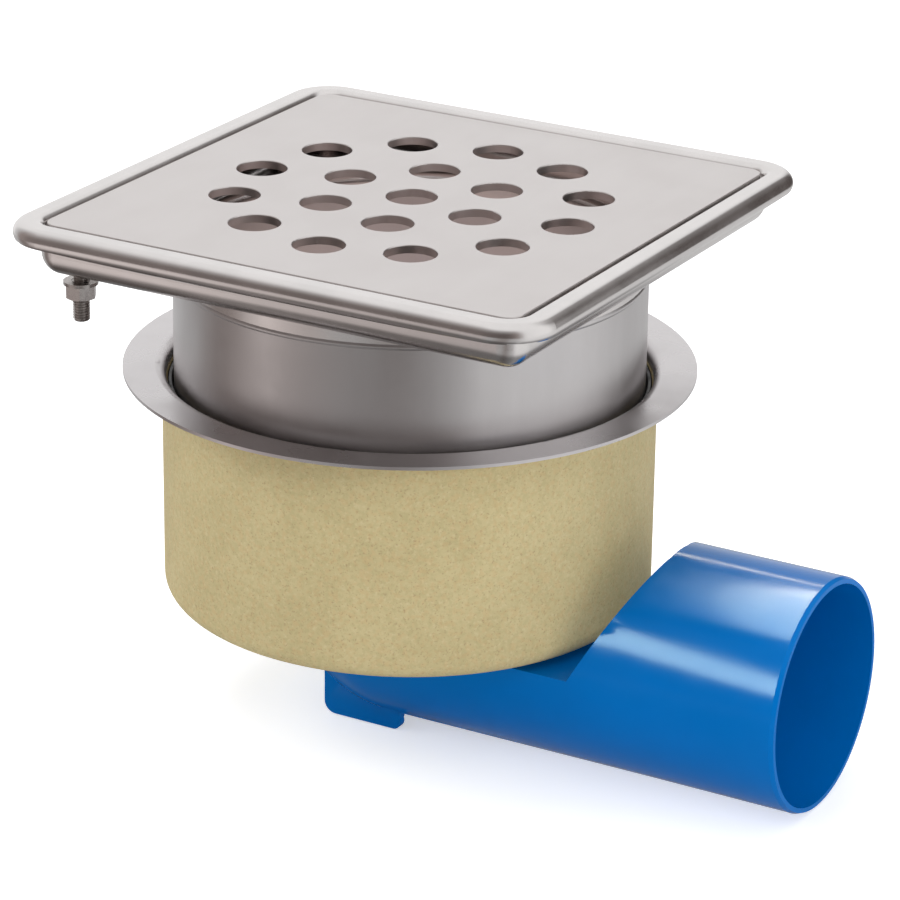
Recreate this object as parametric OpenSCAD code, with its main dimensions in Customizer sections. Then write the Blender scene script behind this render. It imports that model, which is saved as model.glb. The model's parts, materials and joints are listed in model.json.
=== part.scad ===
// Gully trap with a square stainless top section, a polymer-concrete bowl and a side outlet.
// The drain's axis is Z, the outlet pipe points along +X, and Z = 0 is the top of the
// membrane flange. The top section slides and turns in the bowl's lip seal.

/* [Grate] */
// Side of the square grate plate
grate_side = 243; // [236:0.5:250]
// Thickness of the grate plate
grate_t = 4; // [3:0.5:6]
// Corner radius of the grate plate
grate_corner_r = 7.6; // [6:0.2:8]
// Radius over the plate's upper edge
grate_edge_r = 0.5; // [0.2:0.1:1]
// Diameter of each drain hole
hole_d = 23.8; // [16:0.2:28]
// Radius round each hole's upper edge
hole_edge_r = 0.6; // [0.2:0.1:1]
// Radius of the inner circle of holes
inner_ring_r = 40.6; // [36:0.2:42]
// Radius of the outer circle of holes
outer_ring_r = 81.2; // [76:0.2:90]

/* [Top section] */
// Height of the rim's top over the membrane flange
top_z = 81.3; // [76:0.1:92]
// Depth of the grate's top below the rim's top
grate_drop = 1.1; // [0:0.1:2]
// Thickness of the frame's and spigot's sheet
sheet_t = 1.5; // [1.2:0.1:2]
// Gap round the grate plate
grate_gap = 1.4; // [0.6:0.1:2]
// Radius over the rim's inner edge
rim_inner_r = 4; // [3:0.5:5]
// Width of the rim's flat top
rim_flat = 4.8; // [3:0.1:8]
// Height of the rim's half-round outer edge
rim_h = 10.6; // [9:0.2:13]
// Rise of the rim's lower edge from the middle of a side to its ends
rim_rise = 2.3; // [1:0.1:3]
// Depth of the pan under the rim's top, outside
pan_depth = 25.5; // [22:0.5:32]
// Outside radius of the bend at the pan's mouth into the neck
neck_bend_r = 3; // [2:0.5:3.5]
// Thickness of the corner plates that the grate rests on
rest_t = 3; // [2:0.5:5]
// Length of each corner plate's leg along the frame
rest_leg = 34; // [24:1:48]

/* [Spigot] */
// Distance from the pan's wall to the spigot, at the middle of a side
spigot_inset = 14.4; // [14:0.1:18]
// Height of the weld between the neck and the spigot, over the flange
weld_z = 46.5; // [42:0.5:50]
// Length of the spigot tube below the weld
spigot_len = 76.5; // [70:0.5:80]

/* [Earth stud] */
// Diameter of the earth stud
stud_d = 8; // [6:1:10]
// Length of the stud under the pan
stud_len = 23; // [18:0.5:30]
// Distance from the pan's walls to the stud's axis
stud_inset = 15.4; // [15:0.2:30]
// Diameter of the washer
washer_d = 16; // [12:0.5:20]
// Thickness of the washer
washer_t = 1.6; // [1:0.1:2.5]
// Distance across the nut's flats
nut_af = 13; // [10:0.5:17]
// Height of the nut
nut_h = 6.5; // [5:0.1:8]
// Depth of the washer's top below the pan
nut_drop = 4; // [1:0.5:8]

/* [Membrane flange] */
// Width of the flange beyond its neck
flange_w = 20.1; // [14:0.1:36]
// Thickness of the flange sheet
flange_t = 1.5; // [1:0.1:2]
// Radius over the bend into the flange's neck
flange_bend_r = 5; // [4:0.5:5.5]
// Gap between the spigot and the flange's neck
flange_gap = 3.6; // [3:0.1:4]
// Height of the flange's neck, with its bend
flange_neck_h = 7; // [6.5:0.1:7.5]

/* [Bowl] */
// Wall of the bowl round the spigot's socket
bowl_wall = 4.5; // [4:0.5:9]
// Depth of the bowl's underside below the flange's top
bowl_bottom = 112; // [108:0.5:125]
// Radius round the bowl's bottom edge
bowl_edge_r = 9; // [5:0.5:12]
// Thickness of the bowl's floor
floor_t = 8; // [6:0.5:10]
// Width of the step between the socket and the water chamber
chamber_step = 7; // [5:0.5:13]
// Radius between the chamber's wall and its floor
chamber_edge_r = 6; // [3:0.5:8]
// Play between the spigot and its socket
socket_play = 1; // [0.5:0.1:1.5]
// Depth of the socket below the flange's top
socket_depth = 70; // [68:0.5:76]
// Width of the collar under the flange, beyond the bowl
collar_w = 5.5; // [4:0.5:7]

/* [Lip seal] */
// Height of the lip seal
seal_h = 10; // [8:0.5:12]
// Running gap between the seal's lips and the spigot
seal_gap = 0.3; // [0.1:0.05:0.5]
// Width of the lip seal, from its lips to its back
seal_w = 2.4; // [2:0.1:2.6]
// Play round the lip seal in its groove
seal_play = 0.3; // [0.1:0.05:0.4]

/* [Outlet] */
// Outside diameter of the outlet pipe
pipe_d = 110; // [104:1:114]
// Wall of the outlet pipe
pipe_wall = 3; // [2.5:0.1:4]
// Gap between the bowl's underside and the outlet's lid
lid_gap = 3; // [2:0.5:4]
// Height of the pipe's axis below the lid
axis_drop = 4; // [2:0.5:8]
// Radius of the bend at the outlet's heel
heel_bend_r = 7; // [4:0.5:15]
// Distance of the slanted wall's foot inside the bowl's side
slant_tuck = 0.5; // [0.5:0.5:3]
// Slope of the slanted wall
slant_deg = 61.6; // [55:0.2:75]
// Radius at the top of the slanted wall
slant_r = 3.5; // [2:0.5:22]
// Length of the chamfer at the pipe's mouth
mouth_chamfer = 2; // [1:0.5:6]
// Length of the pipe's true round end behind the chamfer
free_len = 70.5; // [30:0.5:140]
// Distance between the two feet
feet_pitch = 60; // [50:1:70]
// Thickness of each foot
foot_t = 4; // [3:0.5:6]
// Length of each foot
foot_len = 42; // [36:1:50]
// Distance from the drain's axis to the middle of the feet, away from the mouth
foot_x = 6; // [0:0.5:10]
// Radius at the feet's back corner
foot_r = 6; // [3:0.5:8]

/* [Trap] */
// Outside diameter of the outlet's neck through the floor
neck_d = 92; // [88:1:96]
// Height of the outlet's neck over the floor
neck_h = 12; // [10:0.5:16]
// Width of the outlet gasket's ring
gasket_w = 7.5; // [5:0.5:8]
// Thickness of the floor seal
floor_seal_t = 2; // [1:0.5:3]
// Width of the clamp ring beyond the neck
clamp_w = 12; // [9:0.5:14]
// Play between the overflow pipe and the neck's bore
riser_play = 0.4; // [0.2:0.1:0.6]
// Wall of the overflow pipe
riser_wall = 2.6; // [2:0.1:3]
// Height of the overflow's rim above the floor
weir_h = 56; // [50:1:64]
// Depth of the water seal
seal_depth = 50; // [44:1:54]
// Gap between the overflow pipe and the bell
bell_gap = 21.9; // [20:0.1:26]
// Wall of the bell
bell_wall = 2.5; // [2:0.1:3]
// Height of the bell's dome above the overflow's rim
dome_rise = 14; // [12:1:20]
// Radius round the bell's dome
dome_r = 10; // [6:0.5:11]
// Height of the bell's grip
grip_h = 22; // [18:1:30]
// Width of the bell's grip
grip_w = 64; // [50:1:76]

/* [Hidden] */
$fn = 96;

eps = 0.01;
far = 400;
// How far a cutter reaches past what it cuts
past = 1;

steel = [0.78, 0.76, 0.74];
dark_steel = [0.62, 0.60, 0.58];
stone = [0.75, 0.69, 0.51];
blue = [0.0, 0.39, 0.70];
black = [0.07, 0.07, 0.07];
grey = [0.55, 0.57, 0.60];

// Top section
grate_half = grate_side / 2;
grate_z = top_z - grate_drop;
seat_z = grate_z - grate_t;
pocket_half = grate_half + grate_gap;
pocket_corner_r = grate_corner_r + grate_gap;
nose_r = rim_h / 2;
rim_w = rim_inner_r + rim_flat + nose_r;
rim_half = pocket_half + rim_w;
rim_corner_r = pocket_corner_r + rim_w;
rim_low = top_z - rim_h;
// Width of the nose's lower lip, and the least that the arc takes off it
rim_lip = 2;
trim_start = 0.3;
arc_fn = 2880;
pan_half = pocket_half + sheet_t;
pan_bottom = top_z - pan_depth;
pan_floor = pan_bottom + sheet_t;
rest_tip = 2;
spigot_r = pan_half - spigot_inset;
spigot_bore_r = spigot_r - sheet_t;
spigot_low = weld_z - spigot_len;

// Earth stud
stud_at = [stud_inset - pan_half, stud_inset - pan_half];
stud_chamfer = 0.8;
thread_gap = 0.05;
washer_play = 0.2;
nut_chamfer_w = 1.6;
nut_chamfer_h = 0.9;
washer_top = pan_bottom - nut_drop;
nut_top = washer_top - washer_t;

// Flange, seal and bowl
flange_neck_r = spigot_r + flange_gap;
flange_r = flange_neck_r + flange_w;
socket_r = spigot_r + socket_play;
bowl_r = socket_r + bowl_wall;
chamber_r = socket_r - chamber_step;
collar_r = bowl_r + collar_w;
collar_edge = 4;
collar_slope = 1.6;
floor_z = -bowl_bottom + floor_t;
fit_gap = 0.1;
lip_r = spigot_r + seal_gap;
seal_r = lip_r + seal_w;
seal_back_t = 1.6;
seal_chamfer = 0.4;
seal_groove_r = seal_r + seal_play;
seal_top = -flange_neck_h;
seal_low = seal_top - seal_h;
// Each lip: how far it falls from root to tip, its tip's thickness and its root's
lip_fall = 1.2;
lip_t = 0.8;
lip_root = 3.4;

// Outlet
pipe_r = pipe_d / 2;
pipe_bore_r = pipe_r - pipe_wall;
lid_z = -bowl_bottom - lid_gap;
pipe_z = lid_z - axis_drop;
pipe_bottom = pipe_z - pipe_r;
pipe_top = pipe_z + pipe_r;
// The moulded body stands this far over the pipe's true round end, and tapers down to it
body_swell = 0.6;
swell_len = 3;
body_r = pipe_r + body_swell;
slant_x = bowl_r - slant_tuck;
slant_top = pipe_top + body_swell + 0.2;
slant_head = slant_x + (slant_top - lid_z) / tan(slant_deg);
// The true round end starts just past the slanted wall's upper bend
free_x = slant_head + slant_r * tan(slant_deg / 2) + 0.7;
mouth_x = free_x + free_len + mouth_chamfer;
mouth_chamfer_w = 0.8;
inner_bend_r = 0.3;
foot_front_r = 4;

// Trap
neck_r = neck_d / 2;
neck_bore_r = neck_r - pipe_wall;
neck_top = floor_z + neck_h;
floor_hole_r = neck_r + 0.4;
clamp_low = floor_z + floor_seal_t;
clamp_r = neck_r + clamp_w;
clamp_t = 3;
clamp_boss_w = 5;
clamp_rib_t = 4;
riser_r = neck_bore_r - riser_play;
riser_collar_t = 2.5;
weir_z = floor_z + weir_h;
bell_r = riser_r + bell_gap + bell_wall;
bell_low = weir_z - seal_depth;
dome_z = weir_z + dome_rise;
// The bell's ribs: thickness, reach inside the overflow's wall, drop below its rim, play on it
bell_rib_t = 2.5;
rib_seat = 8;
rib_drop = 20;
rib_play = 0.5;
// The bell's grip: its bar's width and thickness and its corners' radius
grip_bar_w = 12;
grip_t = 5;
grip_r = 8;

// ---- Shapes that repeat ----

// A square slab with round corners, from z0 up to z1
module slab(half, r, z0, z1) {
    translate([0, 0, z0]) linear_extrude(height = z1 - z0) {
        square([2 * half, 2 * (half - r)], center = true);
        square([2 * (half - r), 2 * half], center = true);
        for (x = [-1, 1], y = [-1, 1]) translate([x * (half - r), y * (half - r)]) circle(r);
    }
}

// Sweeps a section round a square with round corners; the section's x runs outward, 0 at the edge
module round_square(half, r) {
    for (k = [0 : 3]) rotate(90 * k) {
        translate([half, half - r, 0]) rotate([90, 0, 0])
            linear_extrude(height = 2 * (half - r)) children();
        translate([half - r, half - r, 0]) rotate_extrude(angle = 90) intersection() {
            translate([r, 0]) children();
            translate([0, -half]) square([r + half, 2 * half]);
        }
    }
}

// A square block with round corners and an equally round bottom edge
module dished_block(half, r, z0, z1) {
    round_square(half, r) {
        translate([-r, z0 + r]) square([r, z1 - z0 - r]);
        intersection() {
            translate([-r, z0 + r]) circle(r);
            translate([-r, z0]) square([r, r]);
        }
    }
    translate([0, 0, (z0 + z1) / 2]) cube([2 * (half - r), 2 * (half - r), z1 - z0], center = true);
}

// The quarter of a circle that fills a corner: dx and dy say which way it bulges
module quarter(r, dx, dy) {
    intersection() {
        circle(r);
        translate([dx > 0 ? 0 : -r, dy > 0 ? 0 : -r]) square(r);
    }
}

// ---- Top section ----

// The plate, with its upper edge rounded
module grate_plate() {
    round_square(grate_half, grate_corner_r) {
        translate([-grate_corner_r, seat_z]) square([grate_corner_r, grate_t - grate_edge_r]);
        translate([-grate_corner_r, seat_z]) square([grate_corner_r - grate_edge_r, grate_t]);
        translate([-grate_edge_r, grate_z - grate_edge_r]) circle(grate_edge_r);
    }
    core = 2 * (grate_half - grate_corner_r);
    translate([0, 0, (seat_z + grate_z) / 2]) cube([core, core, grate_t], center = true);
}

// What is cut out for one hole, flared by the round of its upper edge
module hole_cutter() rotate_extrude() {
    translate([0, seat_z - past]) square([hole_d / 2, grate_t + 2 * past]);
    translate([0, grate_z - hole_edge_r]) difference() {
        square([hole_d / 2 + hole_edge_r, hole_edge_r + past]);
        translate([hole_d / 2 + hole_edge_r, 0]) circle(hole_edge_r);
    }
}

module grate() color(steel) difference() {
    grate_plate();
    hole_cutter();
    for (k = [0 : 5]) rotate(45 + 60 * k) translate([inner_ring_r, 0, 0]) hole_cutter();
    for (k = [0 : 11]) rotate(30 * k) translate([outer_ring_r, 0, 0]) hole_cutter();
}

// The rim's form, shrunk by inset: a wall, a round inner edge, a flat top and a half-round nose
module rim_form(inset) {
    inner_x = -rim_w + rim_inner_r;
    translate([-rim_w + inset, rim_low + inset])
        square([rim_w - nose_r - inset, rim_h - rim_inner_r - inset]);
    translate([inner_x, rim_low + inset]) square([rim_flat, rim_h - 2 * inset]);
    translate([inner_x, top_z - rim_inner_r]) circle(rim_inner_r - inset);
    translate([-nose_r, rim_low + nose_r]) circle(nose_r - inset);
}

// The rim's sheet, open underneath between the wall and the lip
module rim_section() difference() {
    rim_form(0);
    rim_form(sheet_t);
    translate([-rim_w + sheet_t, rim_low - past])
        square([rim_w - nose_r - sheet_t - rim_lip, sheet_t + 2 * past]);
}

// Cuts the rim's lower edge to a shallow arc on every side, lowest in the middle
module rim_trim() {
    arc_r = pocket_half * pocket_half / (2 * rim_rise);
    for (k = [0 : 3]) rotate(90 * k) translate([pan_half + eps, 0, 0])
        rotate([90, 0, 90]) linear_extrude(height = rim_w + past) difference() {
            translate([-rim_half - past, rim_low - past]) square([2 * (rim_half + past), nose_r]);
            translate([0, rim_low + trim_start + arc_r]) circle(arc_r, $fn = arc_fn);
        }
}

module top_frame() color(steel) {
    difference() {
        union() {
            round_square(rim_half, rim_corner_r) rim_section();
            dished_block(pan_half, pocket_corner_r + sheet_t, pan_bottom, top_z - rim_inner_r);
        }
        dished_block(pocket_half, pocket_corner_r, pan_floor, top_z + past);
        cylinder(r = spigot_r + neck_bend_r, h = far, center = true);
        rim_trim();
    }
    neck();
}

// The pan's floor turns down into a short neck, which the spigot is welded to
module neck() rotate_extrude() {
    translate([spigot_bore_r, weld_z]) square([sheet_t, pan_bottom - neck_bend_r - weld_z]);
    translate([spigot_r + neck_bend_r, pan_bottom - neck_bend_r]) difference() {
        quarter(neck_bend_r + sheet_t, -1, 1);
        circle(neck_bend_r);
    }
}

module corner_rests() color(dark_steel) intersection() {
    slab(pocket_half, pocket_corner_r, seat_z - rest_t, seat_z);
    for (k = [0 : 3]) rotate(90 * k) translate([pocket_half, pocket_half, 0])
        linear_extrude(height = far) polygon([
            [eps, eps], [-rest_leg, eps], [-rest_leg, -rest_tip], [-rest_tip, -rest_leg], [eps, -rest_leg]
        ]);
}

module spigot() color(steel) rotate_extrude()
    translate([spigot_bore_r, spigot_low]) square([sheet_t, spigot_len]);

module earth_stud() color(dark_steel) translate(stud_at) translate([0, 0, pan_bottom - stud_len])
    rotate_extrude() polygon([
        [0, 0], [stud_d / 2 - stud_chamfer, 0], [stud_d / 2, stud_chamfer],
        [stud_d / 2, stud_len], [0, stud_len]
    ]);

module earth_washer() color(dark_steel) translate(stud_at) translate([0, 0, nut_top]) difference() {
    cylinder(d = washer_d, h = washer_t);
    cylinder(r = stud_d / 2 + washer_play, h = far, center = true);
}

module earth_nut() color(dark_steel) translate(stud_at) translate([0, 0, nut_top - nut_h]) difference() {
    wide_r = nut_af / 2 + nut_chamfer_w;
    intersection() {
        cylinder(d = nut_af / cos(30), h = nut_h, $fn = 6);
        rotate_extrude()
            polygon([[0, 0], [nut_af / 2, 0], [wide_r, nut_chamfer_h], [wide_r, nut_h], [0, nut_h]]);
    }
    cylinder(r = stud_d / 2 + thread_gap, h = far, center = true);
}

// ---- Flange, seal and bowl ----

module membrane_flange() color(steel) rotate_extrude() {
    bend_x = flange_neck_r + flange_bend_r;
    translate([bend_x, -flange_t]) square([flange_r - bend_x, flange_t]);
    translate([bend_x, -flange_bend_r]) difference() {
        quarter(flange_bend_r, -1, 1);
        circle(flange_bend_r - flange_t);
    }
    translate([flange_neck_r, -flange_neck_h]) square([flange_t, flange_neck_h - flange_bend_r]);
}

// One lip, whose root starts at z and runs down the seal's back
module lip(z) {
    root = seal_r - seal_back_t;
    polygon([
        [root + eps, z], [lip_r, z - lip_fall], [lip_r, z - lip_fall - lip_t], [root + eps, z - lip_root]
    ]);
}

// A ring with two lips that lean on the spigot
module lip_seal() color(black) rotate_extrude() {
    root = seal_r - seal_back_t;
    polygon([
        [seal_r, seal_low], [seal_r, seal_top - seal_chamfer], [seal_r - seal_chamfer, seal_top],
        [root, seal_top], [root, seal_low]
    ]);
    lip(seal_top);
    lip(seal_low + lip_root);
}

// The bowl's outer form, from its round bottom edge up to the flange's neck
module bowl_outside() {
    translate([0, -bowl_bottom + bowl_edge_r]) square([bowl_r, bowl_bottom - bowl_edge_r - flange_neck_h]);
    translate([0, -bowl_bottom]) square([bowl_r - bowl_edge_r, bowl_edge_r + past]);
    translate([bowl_r - bowl_edge_r, -bowl_bottom + bowl_edge_r]) circle(bowl_edge_r);
}

// Collar that the membrane flange is bonded to
module bowl_collar() {
    inner_x = seal_groove_r - past;
    collar_low = -flange_t - collar_edge;
    slope_low = collar_low - collar_w / collar_slope;
    polygon([
        [inner_x, -flange_t], [collar_r, -flange_t], [collar_r, collar_low], [bowl_r, slope_low],
        [inner_x, slope_low]
    ]);
}

// Floor hole, chamber with a round foot, spigot socket, seal groove and the flange's rebate
module bowl_inside() {
    rebate_r = flange_neck_r + flange_t + fit_gap;
    corner = flange_bend_r - flange_t - fit_gap;
    translate([0, -bowl_bottom - past]) square([floor_hole_r, bowl_bottom]);
    translate([0, floor_z]) square([chamber_r - chamber_edge_r, bowl_bottom]);
    translate([0, floor_z + chamber_edge_r]) square([chamber_r, bowl_bottom]);
    translate([chamber_r - chamber_edge_r, floor_z + chamber_edge_r]) circle(chamber_edge_r);
    translate([0, -socket_depth]) square([socket_r, bowl_bottom]);
    translate([0, seal_low]) square([seal_groove_r, bowl_bottom]);
    translate([0, -flange_neck_h]) square([rebate_r, bowl_bottom]);
    translate([rebate_r - past, -flange_t - corner]) difference() {
        square([corner + past, bowl_bottom]);
        translate([corner + past, 0]) circle(corner);
    }
}

module bowl() color(stone) difference() {
    union() {
        rotate_extrude() bowl_outside();
        rotate_extrude() bowl_collar();
    }
    rotate_extrude() bowl_inside();
}

// ---- Outlet ----

// Side view of the outlet: a low lid at the back, a slanted wall and the full pipe at the front
module side_form(wall) {
    back = -2 * pipe_r;
    shift = wall * tan(slant_deg / 2);
    foot = slant_x + shift;
    head = slant_head + shift;
    top = slant_top - wall;
    low = pipe_bottom - past;
    r = max(slant_r - wall, inner_bend_r);
    run = r * tan(slant_deg / 2);
    centre = [head + run, top - r];
    difference() {
        polygon([
            [back, low], [back, lid_z - wall], [foot, lid_z - wall], [head, top], [far, top], [far, low]
        ]);
        difference() {
            polygon([
                [head - past, top + past], [head - run * cos(slant_deg), top - run * sin(slant_deg)],
                centre, [centre.x, top + past]
            ]);
            translate(centre) circle(r);
        }
    }
}

// Pipe and round heel, full form, with the radius r, up to x = end
module elbow_form(r, end) {
    translate([heel_bend_r, 0, pipe_z]) rotate([0, 90, 0]) cylinder(r = r, h = end - heel_bend_r);
    translate([heel_bend_r, 0, pipe_z + heel_bend_r]) rotate([90, 0, 0]) rotate(180)
        rotate_extrude(angle = 90) intersection() {
            translate([heel_bend_r, 0]) circle(r);
            translate([0, -r - past]) square([r + heel_bend_r + past, 2 * (r + past)]);
        }
}

// The pipe's true round end: a short taper down from the body, the free end and its chamfer
module pipe_end() translate([free_x - swell_len, 0, pipe_z]) rotate([0, 90, 0]) rotate_extrude() {
    chamfer_at = swell_len + free_len;
    polygon([
        [0, 0], [body_r, 0], [pipe_r, swell_len], [pipe_r, chamfer_at],
        [pipe_r - mouth_chamfer_w, chamfer_at + mouth_chamfer], [0, chamfer_at + mouth_chamfer]
    ]);
}

module extrude_y(w) rotate([90, 0, 0]) translate([0, 0, -w / 2]) linear_extrude(height = w) children();

module outlet() color(blue) {
    wide = 2 * (body_r + past);
    difference() {
        union() {
            intersection() {
                elbow_form(body_r, free_x - swell_len);
                extrude_y(wide) side_form(0);
            }
            pipe_end();
            translate([0, 0, lid_z - pipe_wall]) cylinder(r = neck_r, h = neck_top - lid_z + pipe_wall);
            for (y = [-1, 1]) translate([0, y * feet_pitch / 2, 0]) foot();
        }
        intersection() {
            elbow_form(pipe_bore_r, mouth_x + past);
            extrude_y(wide) side_form(pipe_wall);
        }
        translate([0, 0, lid_z - pipe_wall - past]) cylinder(r = neck_bore_r, h = far);
    }
}

module foot() extrude_y(foot_t) {
    back = -foot_x - foot_len / 2;
    translate([back, pipe_bottom + foot_r]) square([foot_len, lid_z - pipe_bottom - foot_r - past]);
    translate([back + foot_r, pipe_bottom]) square([foot_len - foot_r - foot_front_r, foot_r + past]);
    translate([back + foot_r, pipe_bottom + foot_r]) circle(foot_r);
    translate([back + foot_len - foot_front_r, pipe_bottom + foot_front_r]) circle(foot_front_r);
}

// ---- Trap ----

module outlet_gasket() color(black) translate([0, 0, lid_z]) difference() {
    cylinder(r = floor_hole_r + gasket_w, h = lid_gap);
    cylinder(r = floor_hole_r, h = far, center = true);
}

module floor_seal() color(black) translate([0, 0, floor_z]) difference() {
    cylinder(r = clamp_r, h = floor_seal_t);
    cylinder(r = floor_hole_r, h = far, center = true);
}

module clamp_ring() color(blue) translate([0, 0, clamp_low]) difference() {
    rib_x = neck_r + clamp_boss_w - past;
    union() {
        cylinder(r = clamp_r, h = clamp_t);
        cylinder(r = neck_r + clamp_boss_w, h = neck_top - clamp_low);
        for (k = [0 : 5]) rotate(60 * k) translate([rib_x, -clamp_rib_t / 2, 0])
            cube([clamp_r - past - rib_x, clamp_rib_t, neck_top - clamp_low]);
    }
    cylinder(r = neck_r + thread_gap, h = far, center = true);
}

module overflow_pipe() color(grey) rotate_extrude() {
    translate([riser_r - riser_wall, clamp_low]) square([riser_wall, weir_z - clamp_low]);
    translate([riser_r - past, neck_top]) square([neck_r - riser_r + past, riser_collar_t]);
}

// The bell's form up to its round dome, shrunk by inset and open below by drop
module bell_form(inset, drop) {
    round_x = bell_r - dome_r;
    translate([0, bell_low - drop]) square([bell_r - inset, dome_z - dome_r - bell_low + drop]);
    translate([0, dome_z - dome_r - past]) square([round_x, dome_r + past - inset]);
    translate([round_x, dome_z - dome_r]) circle(dome_r - inset);
}

module bell() color(grey) {
    rotate_extrude() difference() {
        bell_form(0, 0);
        bell_form(bell_wall, past);
    }
    for (k = [0 : 3]) rotate(45 + 90 * k) bell_rib();
    bell_grip();
}

// One of the ribs that stand on the overflow pipe's rim and centre the bell
module bell_rib() extrude_y(bell_rib_t) {
    inner_x = riser_r - rib_seat;
    reach = bell_r - bell_wall + eps - inner_x;
    low = weir_z - rib_drop;
    difference() {
        translate([inner_x, low]) square([reach, dome_z - dome_r - low]);
        translate([0, low - past]) square([riser_r + rib_play, rib_drop + past]);
    }
    translate([inner_x, weir_z]) square([bell_r - dome_r - inner_x, dome_z - bell_wall / 2 - weir_z]);
}

// The grip's outline, shrunk by inset and open below by drop
module grip_form(inset, drop) {
    round_x = grip_w / 2 - grip_r;
    round_z = grip_h - grip_r;
    translate([inset - grip_w / 2, -drop]) square([grip_w - 2 * inset, round_z + drop]);
    translate([-round_x, -drop]) square([2 * round_x, grip_h - inset + drop]);
    for (x = [-1, 1]) translate([x * round_x, round_z]) circle(grip_r - inset);
}

module bell_grip() translate([0, 0, dome_z - eps]) extrude_y(grip_bar_w) difference() {
    grip_form(0, 0);
    grip_form(grip_t, past);
}

grate();
top_frame();
corner_rests();
spigot();
earth_stud();
earth_washer();
earth_nut();
membrane_flange();
lip_seal();
bowl();
outlet_gasket();
outlet();
floor_seal();
clamp_ring();
overflow_pipe();
bell();
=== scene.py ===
"""Looks of the gully trap: finishes, threads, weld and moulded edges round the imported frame."""

import json
import logging
import math
from dataclasses import dataclass, field
from enum import Enum
from typing import Callable, Iterable

import bmesh
import bpy
from mathutils import Matrix, Vector

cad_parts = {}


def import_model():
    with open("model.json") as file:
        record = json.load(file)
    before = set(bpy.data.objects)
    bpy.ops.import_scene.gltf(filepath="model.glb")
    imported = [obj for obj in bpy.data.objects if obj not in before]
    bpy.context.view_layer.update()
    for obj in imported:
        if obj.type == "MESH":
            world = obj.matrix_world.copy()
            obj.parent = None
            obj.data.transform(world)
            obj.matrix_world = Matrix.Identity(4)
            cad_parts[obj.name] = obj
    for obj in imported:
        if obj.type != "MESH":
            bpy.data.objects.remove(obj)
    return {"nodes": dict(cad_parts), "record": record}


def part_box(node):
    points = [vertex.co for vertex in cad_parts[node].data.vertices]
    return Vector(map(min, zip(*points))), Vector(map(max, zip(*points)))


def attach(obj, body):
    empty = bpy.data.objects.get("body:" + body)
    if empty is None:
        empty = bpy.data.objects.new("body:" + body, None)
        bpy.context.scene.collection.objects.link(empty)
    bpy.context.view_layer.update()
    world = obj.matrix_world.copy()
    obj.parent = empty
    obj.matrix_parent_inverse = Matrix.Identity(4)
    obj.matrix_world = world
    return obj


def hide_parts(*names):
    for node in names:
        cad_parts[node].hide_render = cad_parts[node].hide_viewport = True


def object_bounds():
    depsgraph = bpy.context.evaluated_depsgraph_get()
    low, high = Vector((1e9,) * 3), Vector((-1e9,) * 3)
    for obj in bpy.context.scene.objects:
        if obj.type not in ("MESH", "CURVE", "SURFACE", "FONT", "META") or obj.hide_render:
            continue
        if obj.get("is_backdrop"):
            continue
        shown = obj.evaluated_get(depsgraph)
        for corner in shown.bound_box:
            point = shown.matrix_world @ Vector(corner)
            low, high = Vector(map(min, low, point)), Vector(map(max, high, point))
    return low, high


LOG = logging.getLogger("gully")

Colour = tuple[float, float, float]
Point = tuple[float, float, float]

WHITE = (1.0, 1.0, 1.0)
# Nearly all of a noise pattern lies in its span, and most of it in its core.
NOISE_SPAN = (0.3, 0.7)
NOISE_CORE = (0.35, 0.65)


class Body(Enum):
    """The frame's bodies that the added pieces ride on."""

    HOUSING = "housing"
    TOP = "top_section"


class Slot(Enum):
    """The record's material slots."""

    PLATE = "plate_steel"
    FRAME = "frame_steel"
    TUBE = "tube_steel"
    FASTENER = "fastener_steel"
    FLANGE = "flange_steel"
    RUBBER = "seal_rubber"
    CONCRETE = "polymer_concrete"
    BLUE = "blue_plastic"
    GREY = "grey_plastic"


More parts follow.
